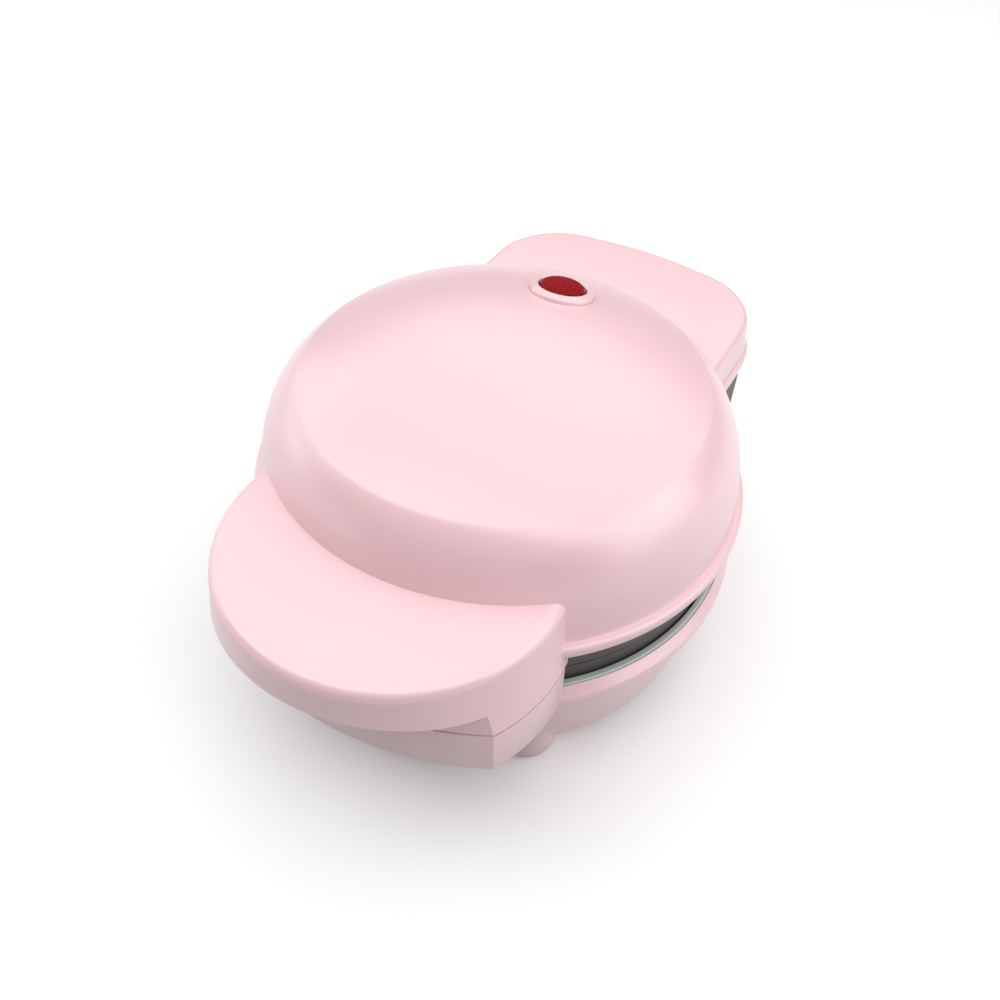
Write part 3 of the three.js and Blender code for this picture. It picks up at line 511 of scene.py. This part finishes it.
def at_lamp(made):
    """Tips a solid made round the z axis to stand on the dome where the lamp is."""
    tip = -math.asin(LAMP_Y / DOME_SPHERE)
    move = Matrix.Translation((0, LAMP_Y, cap_height(LAMP_Y))) @ Matrix.Rotation(tip, 4, "X")
    made.data.transform(move)
    return made


def lamp_collar():
    outside = [(0, -1.6), (LAMP_COLLAR, -1.6), (LAMP_COLLAR, 0.0)]
    outside += [(LAMP_COLLAR - 1.9 * (1 - math.cos(a)), LAMP_RISE * math.sin(a))
                for a in (i / 12 * math.pi / 2 for i in range(1, 13))]
    return at_lamp(turned("collar", outside + [(0, LAMP_RISE)], 96))


def lid_shell():
    shell = cut(joined(dome_outside(), lid_visor(), lid_housing()), dome_inside())
    groove = [(LAMP_COLLAR - 0.4, -0.5), (LAMP_COLLAR + 0.22, -0.5), (LAMP_COLLAR + 0.3, 1),
              (LAMP_COLLAR - 0.4, 1)]
    shell = joined(cut(shell, at_lamp(turned("groove", groove, 96))), lamp_collar())
    bore = [(0, -8), (LAMP_BORE, -8), (LAMP_BORE, LAMP_RISE - 0.35), (LAMP_BORE + 0.1, LAMP_RISE - 0.1),
            (LAMP_BORE + 0.35, LAMP_RISE + 0.01), (LAMP_BORE + 0.35, 4), (0, 4)]
    wire_window = block(-4, 4, 50, 66, 7.4, 13.8)
    shell = cut(shell, at_lamp(turned("bore", bore, 96)), wire_window)
    return place(shell, "lid_skin", "lid", PINK, ["lid_shell"], 26)


def lid_rear_cover():
    bottom, top, proud = COVER["bottom"], COVER["top"], COVER["proud"]
    levels = [(bottom, proud - 0.9), (bottom + 0.25, proud - 0.4), (bottom + 0.8, proud),
              (top - 0.8, proud), (top - 0.25, proud - 0.25), (top, proud - 0.8)]
    outer = lofted("cover", [housing_outline(offset, z) for z, offset in levels])
    inset = proud - 0.7 - WALL
    room = lofted("room", [housing_outline(inset, z) for z in (bottom + COVER["floor"], top + 1)])
    room = cut(room, disc(63.8, bottom, top + 2, segments=120))
    made = cut(outer, room, disc(61.8, bottom - 1, top + 1, segments=ROUND),
               disc(LOOM_HOLE, bottom - 1, bottom + 3, 0, HINGE["y"]))
    for side in (-1, 1):
        middle = side * (HINGE["knuckle"] + HINGE["end"]) / 2
        cut(made, block(middle - 5.1, middle + 5.1, 64.4, 73.4, bottom - 1, bottom + 3),
            disc(SCREW_HOLE, bottom - 1, bottom + 3, side * COVER_SCREW[0], COVER_SCREW[1], 24))
    return place(made, "lid_rear_cover_skin", "lid", PINK, ["lid_rear_cover"], 30)


def prism_height(x, y, skirt):
    """Height of the lens: a low dome with a crossed grid of small prisms that fades out at its edge."""
    share = min(1.0, math.hypot(x, y) / skirt)
    across, along = (x + y) / math.sqrt(2), (x - y) / math.sqrt(2)
    ridge = sum(math.sin(2 * math.pi * v / LENS_PRISM) for v in (across, along))
    fade = min(1.0, (1 - share) * 7)
    return LENS_RIM + LENS_DOME * math.sqrt(1 - share ** 2) + LENS_RIDGE * ridge * fade


def lamp_lens():
    skirt = LAMP_BORE - GAP
    # Rings of (radius, height): those of the face take their height from the prisms.
    rings = [(skirt - 0.2, -6.0), (skirt, -5.8), (skirt, LENS_RIM - 0.1)]
    rings += [(skirt * math.cos(i / 44 * math.pi / 2), None) for i in range(1, 44)]
    levels = []
    for radius, z in rings:
        level = []
        for i in range(ROUND):
            x = radius * math.cos(2 * math.pi * i / ROUND)
            y = radius * math.sin(2 * math.pi * i / ROUND)
            level.append((x, y, prism_height(x, y, skirt) if z is None else z))
        levels.append(level)
    lens = at_lamp(lofted("lens", levels))
    return place(lens, "lamp_lens_cut", "lid", LENS, ["lamp_lens"], 50)


def lid_hinge_bracket():
    floor = COVER["bottom"] + COVER["floor"] + GAP
    made = block(-34, 34, 66.2, 80, floor, floor + 2)
    for side in (-1, 1):
        near, far = sorted((side * HINGE["knuckle"], side * HINGE["end"]))
        joined(made, block(near, far, 64.8, 73, HINGE["z"], floor + 1.5),
               bar(HINGE["radius"], (near, HINGE["y"], HINGE["z"]), (far, HINGE["y"], HINGE["z"]), 72))
    cut(made, bar(PIN_BORE, (-60, HINGE["y"], HINGE["z"]), (60, HINGE["y"], HINGE["z"])),
        disc(LOOM_HOLE, floor - 1, floor + 3, 0, HINGE["y"]))
    return place(made, "lid_hinge_bracket_fine", "lid", HINGE_GREY, ["lid_hinge_bracket"])


# ---------------------------------------------------------------- waffle plates
def peg(x, y, top, base_z, up):
    """A square peg with rounded corners and a soft edge round its tip."""
    tip, base = PEG["tip"], PEG["base"]
    levels = []
    # (share of the way up, half width, corner radius)
    shape = [(0.0, base + 0.75, 0.9), (0.12, base + 0.25, 0.9), (0.2, base - 0.02, 0.9),
             (0.86, tip + 0.14, 0.9), (0.95, tip - 0.05, 0.8), (1.0, tip - 0.55, 0.6)]
    for share, half, corner in shape:
        z = base_z + (top - base_z) * share
        ring = []
        for quarter in range(4):
            for step in range(5):
                angle = math.radians(quarter * 90 + step * 22.5)
                signs = ((1, 1), (-1, 1), (-1, -1), (1, -1))[quarter]
                ring.append((x + signs[0] * (half - corner) + corner * math.cos(angle),
                             y + signs[1] * (half - corner) + corner * math.sin(angle), z))
        levels.append(ring)
    made = lofted("peg", levels)
    if up < 0:
        return made
    made.data.flip_normals()
    return made


def waffle_plate(name, radius, lip, up, rim, body):
    """A cast plate: heights count from its lip towards its back, which is up for the upper plate."""
    def at(height):
        return lip + up * height

    floor = CAVITY_DEPTH
    back = floor + PLATE_WEB
    profile = [(0, at(floor)), (CAVITY - 3.6, at(floor))]
    profile += [(CAVITY - 3.6 + 2.0 * math.sin(a), at(floor - 2.0 * (1 - math.cos(a))))
                for a in (i / 6 * math.radians(78) for i in range(1, 7))]
    profile += [(CAVITY - 0.5, at(0.9)), (CAVITY - 0.15, at(0.3)), (CAVITY + 0.4, at(0))]
    # A shallow channel round the lip catches batter that runs over.
    profile += [(CAVITY + 2.2, at(0)), (CAVITY + 2.7, at(0.5)), (CAVITY + 4.3, at(0.5)),
                (CAVITY + 4.8, at(0)), (radius - 0.6, at(0)), (radius - 0.18, at(0.18)),
                (radius, at(0.6))]
    profile += [(radius + out, at(height)) for out, height in rim]
    profile += [(radius - PLATE_SKIRT, at(PLATE_SKIRT)), (CAVITY + 2.3, at(PLATE_SKIRT)),
                (CAVITY + 1, at(back)), (0, at(back))]
    made = turned(name, profile, ROUND)
    pegs = []
    most = int(PEG["reach"] // PEG["pitch"]) + 1
    for column in range(-most, most):
        for row in range(-most, most):
            x, y = (column + 0.5) * PEG["pitch"], (row + 0.5) * PEG["pitch"]
            if math.hypot(x, y) <= PEG["reach"]:
                pegs.append(peg(x, y, at(floor - PEG["height"]), at(floor + 0.15), up))
    boss_ends = sorted((at(back - 0.5), at(back + 7.3)))
    bosses = [disc(4, *boss_ends, x, y, 32) for x, y in plate_screws()]
    together(made, *pegs, *bosses)
    return place(made, f"{name}_fine", body, NON_STICK, [name], 28)


# ---------------------------------------------------------------- base
def base_wall(z, inset=0.0):
    """Radius of the bowl's tapered and slightly bulging wall."""
    share = (RIM["foot"] - z) / (RIM["foot"] - BASE["bottom"])
    bulge = 1.1 * share * (1 - share)
    return BASE["wall_top"] + (BASE["wall_foot"] - BASE["wall_top"]) * share + bulge - inset


def base_bowl():
    foot, bottom = RIM["foot"], BASE["bottom"]
    outer = [(0, bottom), (BASE["wall_foot"] - 1.6, bottom), (BASE["wall_foot"] - 0.7, bottom + 0.15),
             (BASE["wall_foot"] - 0.2, bottom + 0.5)]
    for i in range(13):
        z = bottom + 1 + (foot - 0.1 - bottom - 1) * i / 12
        outer.append((base_wall(z), z))
    outer += [(RIM["radius"] - 0.2, foot + 0.05), (RIM["radius"], foot + 0.2)]
    outer += arc((RIM["radius"] - 0.4, RIM["level"]), 0.4, 0, 42, 5)
    outer += [(RIM["inner"] + 0.35, RIM["top"] - 0.12), (RIM["inner"] + 0.12, RIM["top"] - 0.02),
              (RIM["inner"], RIM["top"] - 0.15)]
    step = RING["bottom"] - GAP
    inner = [(RIM["inner"], step), (RING["inner"] + 0.2, step), (RING["inner"] + 0.2, foot - 1.6)]
    floor_top = bottom + BASE["floor"]
    for i in range(1, 7):
        z = foot - 1.6 + (floor_top - foot + 1.6) * i / 6
        inner.append((base_wall(z, WALL), z))
    return turned("bowl", outer + inner + [(0, floor_top)], ROUND)


def base_front_block():
    top, bottom = PARTING - GAP, RIM["foot"]
    radius = VISOR_FOOT + 0.2
    groove = top - PARTING_STEP
    outline = [(0, bottom), (radius - 0.5, bottom), (radius - 0.12, bottom + 0.15),
               (radius, bottom + 0.5), (VISOR_FOOT, groove), (VISOR_FOOT - 0.8, groove),
               (VISOR_FOOT - 0.8, top), (0, top)]
    outer = turned("block", outline, ROUND, 0, VISOR_Y)
    front = [(0, bottom - 1), (FRONT_WALL - 0.6, bottom - 1), (FRONT_WALL - 0.6, bottom),
             (FRONT_WALL - 0.15, bottom + 0.15), (FRONT_WALL, bottom + 0.6), (FRONT_WALL, groove),
             (FRONT_WALL - 0.8, groove), (FRONT_WALL - 0.8, top), (0, top)]
    outer = shared(outer, turned("front", front, ROUND))
    inner = shared(disc(VISOR_FOOT - WALL, bottom - 2, top - WALL, 0, VISOR_Y, 120),
                   disc(FRONT_WALL - WALL, bottom - 2, top, segments=120))
    return cut(outer, inner, disc(RIM["radius"] - 1, bottom - 1, top + 1, segments=120))


def seat_outline(offset, z):
    """The hinge's seat seen from above, at one level."""
    half = SEAT["half"] + offset
    corner = SEAT["corner"]
    right = [(half, 36)]
    for i in range(13):
        angle = i / 12 * math.pi / 2
        right.append((half - corner + corner * math.cos(angle),
                      SEAT["rear"] + offset - corner + corner * math.sin(angle)))
    return [(x, y, z) for x, y in right + [(-x, y) for x, y in reversed(right)]]


def hinge_seat():
    outside = [(SEAT["bottom"], -4.6), (SEAT["bottom"] + 0.3, -4.05), (SEAT["bottom"] + 1.2, -3.4),
               (SEAT["top"] - 1, 0), (SEAT["top"] - 0.3, -0.15), (SEAT["top"], -0.6)]
    inside = [(SEAT["bottom"] + WALL, -5 - WALL), (SEAT["top"] - WALL, -0.6 - WALL)]
    outer = lofted("seat", [seat_outline(offset, z) for z, offset in outside])
    return cut(outer, lofted("room", [seat_outline(offset, z) for z, offset in inside]))


def base_space():
    """The room inside the bowl."""
    low, high = BASE["bottom"] + BASE["floor"], RIM["foot"] - 1.6
    wall = [(base_wall(z, WALL), z) for z in (low, high)]
    return turned("space", [(0, low)] + wall + [(0, high)], 120)


def foot_corners():
    return [(x, y) for x in (-FOOT["x"], FOOT["x"]) for y in (-FOOT["y"], FOOT["y"])]


def foot_leg(x, y):
    end, bottom, floor = FOOT["end"], FOOT["bottom"], BASE["bottom"]
    leg = [(0, end), (bottom - 1.2, end), (bottom - 0.4, end + 0.25), (bottom, end + 1),
           (FOOT["top"], floor + 1.6), (FOOT["top"], floor + 8), (0, floor + 8)]
    return cut(turned("leg", leg, 72, x, y), base_space())


def base_shell():
    bottom, end = BASE["bottom"], FOOT["end"]
    floor_top = bottom + BASE["floor"]
    gland_x, gland_z = GLAND["x"], GLAND["z"]
    seat = cut(hinge_seat(), base_space(), disc(RIM["inner"], RIM["foot"] - 1.8, 0, segments=120))
    shell = joined(base_bowl(), base_front_block(), seat,
                   bar(GLAND["boss"], (gland_x, 66, gland_z), (gland_x, GLAND["face"], gland_z)))
    shell = joined(shell, *[foot_leg(x, y) for x, y in foot_corners()])
    for x, y in foot_corners():
        shell = cut(shell, disc(FOOT["pad"] + GAP, end - 1, end + 0.8, x, y),
                    disc(5.6, end + 3, floor_top + 1, x, y))
    for x, y in plate_screws():
        shell = joined(shell, disc(4.6, bottom + 0.5, -35.2, x, y, 32))
        shell = cut(shell, disc(1.9, bottom - 1, RIM["foot"], x, y, 24),
                    disc(3.7, bottom - 1, bottom + 2.6, x, y, 40))
    middles = [i * 7 for i in range(-2, 3)]
    vents = [block(x - 1.2, x + 1.2, -42, -26, bottom - 1, floor_top + 1) for x in middles]
    shell = cut(shell, *vents)
    # Ways for the wires, and holes for the gland and the hinge housing's screws.
    screw_x, screw_y = HINGE_SCREW
    shell = cut(shell, bar(5, (0, 54, -29.6), (0, 63.6, -29.6)),
                disc(LOOM_HOLE, -24, SEAT["top"] + 1, 0, HINGE["y"] - 0.2, 32),
                bar(GLAND["radius"] + GAP, (gland_x, 64.6, gland_z), (gland_x, 80, gland_z)),
                disc(SCREW_HOLE, -24, SEAT["top"] + 1, -screw_x, screw_y, 24),
                disc(SCREW_HOLE, -24, SEAT["top"] + 1, screw_x, screw_y, 24))
    return place(shell, "base_skin", "base", PINK, ["base_shell"], 26)


def plate_trim_ring():
    inner, outer, top, bottom = RING["inner"], RING["outer"], RING["top"], RING["bottom"]
    profile = [(inner, top - 0.8), (inner, top - 0.12), (inner + 0.1, top), (outer - 0.35, top),
               (outer - 0.12, top - 0.08), (outer, top - 0.3), (outer, bottom), (outer - 0.7, bottom),
               (outer - 0.7, top - 0.8)]
    ring = turned("ring", profile, ROUND)
    return place(ring, "trim_ring_fine", "base", TRIM, ["plate_trim_ring"])


def hinge_housing():
    y, z, radius, half, waist = (HINGE[k] for k in ("y", "z", "radius", "half", "waist"))
    foot = SEAT["top"] + GAP
    made = joined(block(-half + 0.6, half - 0.6, y - 5, y + 4, foot, z - 4),
                  block(-waist, waist, y - 5, y + 4, foot, z),
                  bar(5.5, (-waist - 0.2, y, z), (waist + 0.2, y, z), 64))
    for near, far in ((-half, -waist), (waist, half)):
        made = joined(made, bar(radius, (near, y, z), (far, y, z), 96),
                      block(near, far, y - 5, y + radius, foot, z))
    for side in (-1, 1):
        near, far = sorted((side * HINGE["knuckle"], side * HINGE["end"]))
        cut(made, block(near - GAP, far + GAP, y - 20, y + 20, z - radius - 0.5, z + 20))
    cut(made, bar(3.9, (-4, y, z), (4, y, z)), block(-3.6, 3.6, y - 3.6, y + 20, z - 3.6, z + 20),
        disc(3.3, foot - 1, z, 0, y, 32))
    for side in (-1, 1):
        near, far = sorted((side * 12.2, side * 37.8))
        cut(made, bar(PIN_BORE, (near, y, z), (far, y, z), 40),
            disc(1.7, foot - 1, -10.1, side * HINGE_SCREW[0], HINGE_SCREW[1], 24))
    return place(made, "hinge_housing_fine", "base", HINGE_GREY, ["hinge_housing"])


def cord_gland():
    x, face, z, radius, hole = (GLAND[k] for k in ("x", "face", "z", "radius", "bore"))
    outside = [(0, -5.8), (radius, -5.8), (radius, GAP), (radius + 1.4, GAP), (radius + 1.4, 1.1),
               (radius + 1.2, 1.45), (radius + 0.8, 1.6), (0, 1.6)]
    bore = [(0, -8), (hole, -8), (hole, 1.0), (hole + 0.7, 1.7), (hole + 0.7, 4), (0, 4)]
    flange = cut(turned("gland", outside, 64), turned("bore", bore, 48))
    flange.data.transform(Matrix.Translation((x, face, z)) @ Matrix.Rotation(-math.pi / 2, 4, "X"))
    return place(flange, "cord_gland_fine", "base", HINGE_GREY, ["cord_gland"])


def foot_pads():
    corners = [(-1, -1), (1, -1), (-1, 1), (1, 1)]
    low, high, radius = FOOT["end"] - 0.8, FOOT["end"] + 0.5, FOOT["pad"]
    profile = [(0, low), (radius - 0.5, low), (radius - 0.15, low + 0.12), (radius, low + 0.45),
               (radius, high), (0, high)]
    for i, (sx, sy) in enumerate(corners):
        pad = turned("pad", profile, 64, sx * FOOT["x"], sy * FOOT["y"])
        place(pad, f"foot_pad_{i + 1}_fine", "base", RUBBER, [f"foot_pad_{i + 1}"])


def screw(name, x, y, low, head_radius, head_height, shank_top, body):
    """A pan head screw driven upwards, with a cross recess in its head."""
    under_head = low + head_height
    outline = [(0, low), (head_radius - 0.7, low), (head_radius - 0.2, low + 0.2),
               (head_radius, low + 0.7), (head_radius, under_head), (1.4, under_head),
               (1.4, shank_top - 1), (0.6, shank_top), (0, shank_top)]
    made = turned("screw", outline, 40, x, y)
    for degrees in (20, 110):
        slot = block(-1.5, 1.5, -0.35, 0.35, -0.5, 0.8)
        turn = Matrix.Rotation(math.radians(degrees), 4, "Z")
        slot.data.transform(Matrix.Translation((x, y, low)) @ turn)
        cut(made, slot)
    return place(made, f"{name}_fine", body, STEEL, [name])


def visible_screws():
    for i, (x, y) in enumerate(plate_screws()):
        screw(f"lower_plate_screw_{i + 1}", x, y, BASE["bottom"] + 0.4, 3.3, 1.9, -28, "base")
    x, y = COVER_SCREW
    head, tip = COVER["bottom"] - 1.3, COVER["bottom"] + 8
    for i, side in enumerate((-1, 1)):
        screw(f"rear_cover_screw_{i + 1}", side * x, y, head, 3.0, 1.0, tip, "lid")


def looms():
    """The wires' two halves, which end at the hinge's axis so that the lid can turn."""
    y, z = HINGE["y"], HINGE["z"]
    lid_route = [(0, 20, 14.5), (0, 34, 13.5), (0, 48, 11.6), (0, 58, 11), (0, 64, 10.4), (0, 67.4, 8),
                 (0, y, 3.4), (0, y, z + 1)]
    base_route = [(0, y, z - 3), (0, y, z - 8), (0, y - 0.3, -19), (0, 64.6, -24.6), (0, 60.4, -29),
                  (0, 54, -32.5), (0, 46, -37.5), (0, 40, -39.4)]
    for name, route, body in (("lid_loom", lid_route, "lid"), ("base_loom", base_route, "base")):
        place(hose(name, LOOM, route, 8), f"{name}_fine", body, SILICONE, [name])


# ---------------------------------------------------------------- hidden CAD pieces keep their solids
HIDDEN = [
    (BULB, ["neon_lamp"]),
    (SILICONE, ["lamp_holder"]),
    (CERAMIC, ["thermostat"]),
    (NYLON, ["terminal_block"]),
    (ELEMENT, ["upper_element", "lower_element"]),
    (SHIELD, ["upper_heat_shield", "lower_heat_shield"]),
    (STEEL, ["thermal_fuse", "hinge_pin_left", "hinge_pin_right"]),
    (STEEL, ["upper_plate_screw_1", "upper_plate_screw_2", "upper_plate_screw_3"]),
    (STEEL, ["hinge_housing_screw_1", "hinge_housing_screw_2"]),
]


def dress_hidden():
    for material, names in HIDDEN:
        for name in names:
            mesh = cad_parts[name].data
            mesh.materials.clear()
            mesh.materials.append(material)


# ---------------------------------------------------------------- studio
def studio_floor():
    """A round sheet of pale paper."""
    around = [2 * math.pi * i / 96 for i in range(96)]
    edge = [(FLOOR_RADIUS * math.cos(a), FLOOR_RADIUS * math.sin(a), 0) for a in around]
    floor = new_object("studio_floor", edge, [list(range(96))])
    paper = surface("studio_paper", (0.94, 0.94, 0.94), 0.9, tint=0.004, spread=0.02, grain=300,
                    depth=0.01, patch=6)
    floor.data.materials.append(paper)
    floor.visible_diffuse = False  # the paper throws no light back up at the machine's front


def studio_world():
    """A room that fills the shadows weakly, but looks white itself."""
    world = bpy.data.worlds.new("studio")
    bpy.context.scene.world = world
    world.use_nodes = True
    room = world.node_tree.nodes["Background"]
    room.inputs["Color"].default_value = (1, 1, 1, 1)
    seen = node(world.node_tree, "ShaderNodeLightPath", (-600, 0))
    strength = node(world.node_tree, "ShaderNodeMapRange", (-300, 0))
    strength.inputs["To Min"].default_value = 0.2
    strength.inputs["To Max"].default_value = 1.0
    world.node_tree.links.new(seen.outputs["Is Camera Ray"], strength.inputs["Value"])
    world.node_tree.links.new(strength.outputs["Result"], room.inputs["Strength"])


def studio_lights():
    """A wide panel above, a narrow one ahead, one on either side and a low strip at the front left."""
    # (name, place, looks at, width, depth, power)
    panels = [
        ("ceiling", (0.0, 0.48, 0.62), (0.0, 0.48, 0.0), 1.9, 1.2, 7.6),
        ("ahead", (0.0, -0.26, 0.62), (0.0, -0.26, 0.0), 1.9, 0.3, 4.3),
        ("right", (0.9, 0.15, 0.35), (0.0, 0.0, 0.05), 0.8, 0.6, 3.6),
        ("left", (-0.9, 0.0, 0.35), (0.0, 0.0, 0.05), 0.8, 0.6, 1.9),
        ("low_left", (-0.8, -0.45, 0.12), (0.0, 0.0, 0.03), 1.1, 0.22, 0.8),
    ]
    for name, where, target, width, depth, power in panels:
        light = bpy.data.lights.new(name, "AREA")
        light.shape = "RECTANGLE"
        light.size = width
        light.size_y = depth
        light.energy = power
        lamp = bpy.data.objects.new(name, light)
        bpy.context.collection.objects.link(lamp)
        lamp.location = where
        lamp.rotation_euler = (Vector(target) - Vector(where)).to_track_quat("-Z", "Y").to_euler()


def camera():
    """Looks down on the machine from its front right."""
    lens = bpy.data.cameras.new("camera")
    lens.lens = 36.0
    lens.sensor_width = 36.0
    lens.clip_start = 0.01
    lens.clip_end = 20
    made = bpy.data.objects.new("camera", lens)
    bpy.context.collection.objects.link(made)
    right = Vector((0.86910, 0.49274, 0.04333))
    up = Vector((-0.37517, 0.59955, 0.70696))
    back = right.cross(up).normalized()
    turn = Matrix((right, up, back)).transposed()
    where = Vector((88.633, -172.409 + LID_AXIS_Y, 179.102 + BEAD_HEIGHT)) * MM
    made.matrix_world = Matrix.Translation(where) @ turn.to_4x4()
    bpy.context.scene.camera = made
    bpy.context.scene.view_settings.view_transform = "Standard"


lid_shell()
lid_rear_cover()
lamp_lens()
lid_hinge_bracket()
waffle_plate("upper_plate", PLATE_RADIUS, UPPER_LIP, 1, UPPER_RIM, "lid")
waffle_plate("lower_plate", PLATE_RADIUS - 0.2, LOWER_LIP, -1, LOWER_RIM, "base")
base_shell()
plate_trim_ring()
hinge_housing()
cord_gland()
foot_pads()
visible_screws()
looms()
dress_hidden()
studio_floor()
studio_world()
studio_lights()
camera()
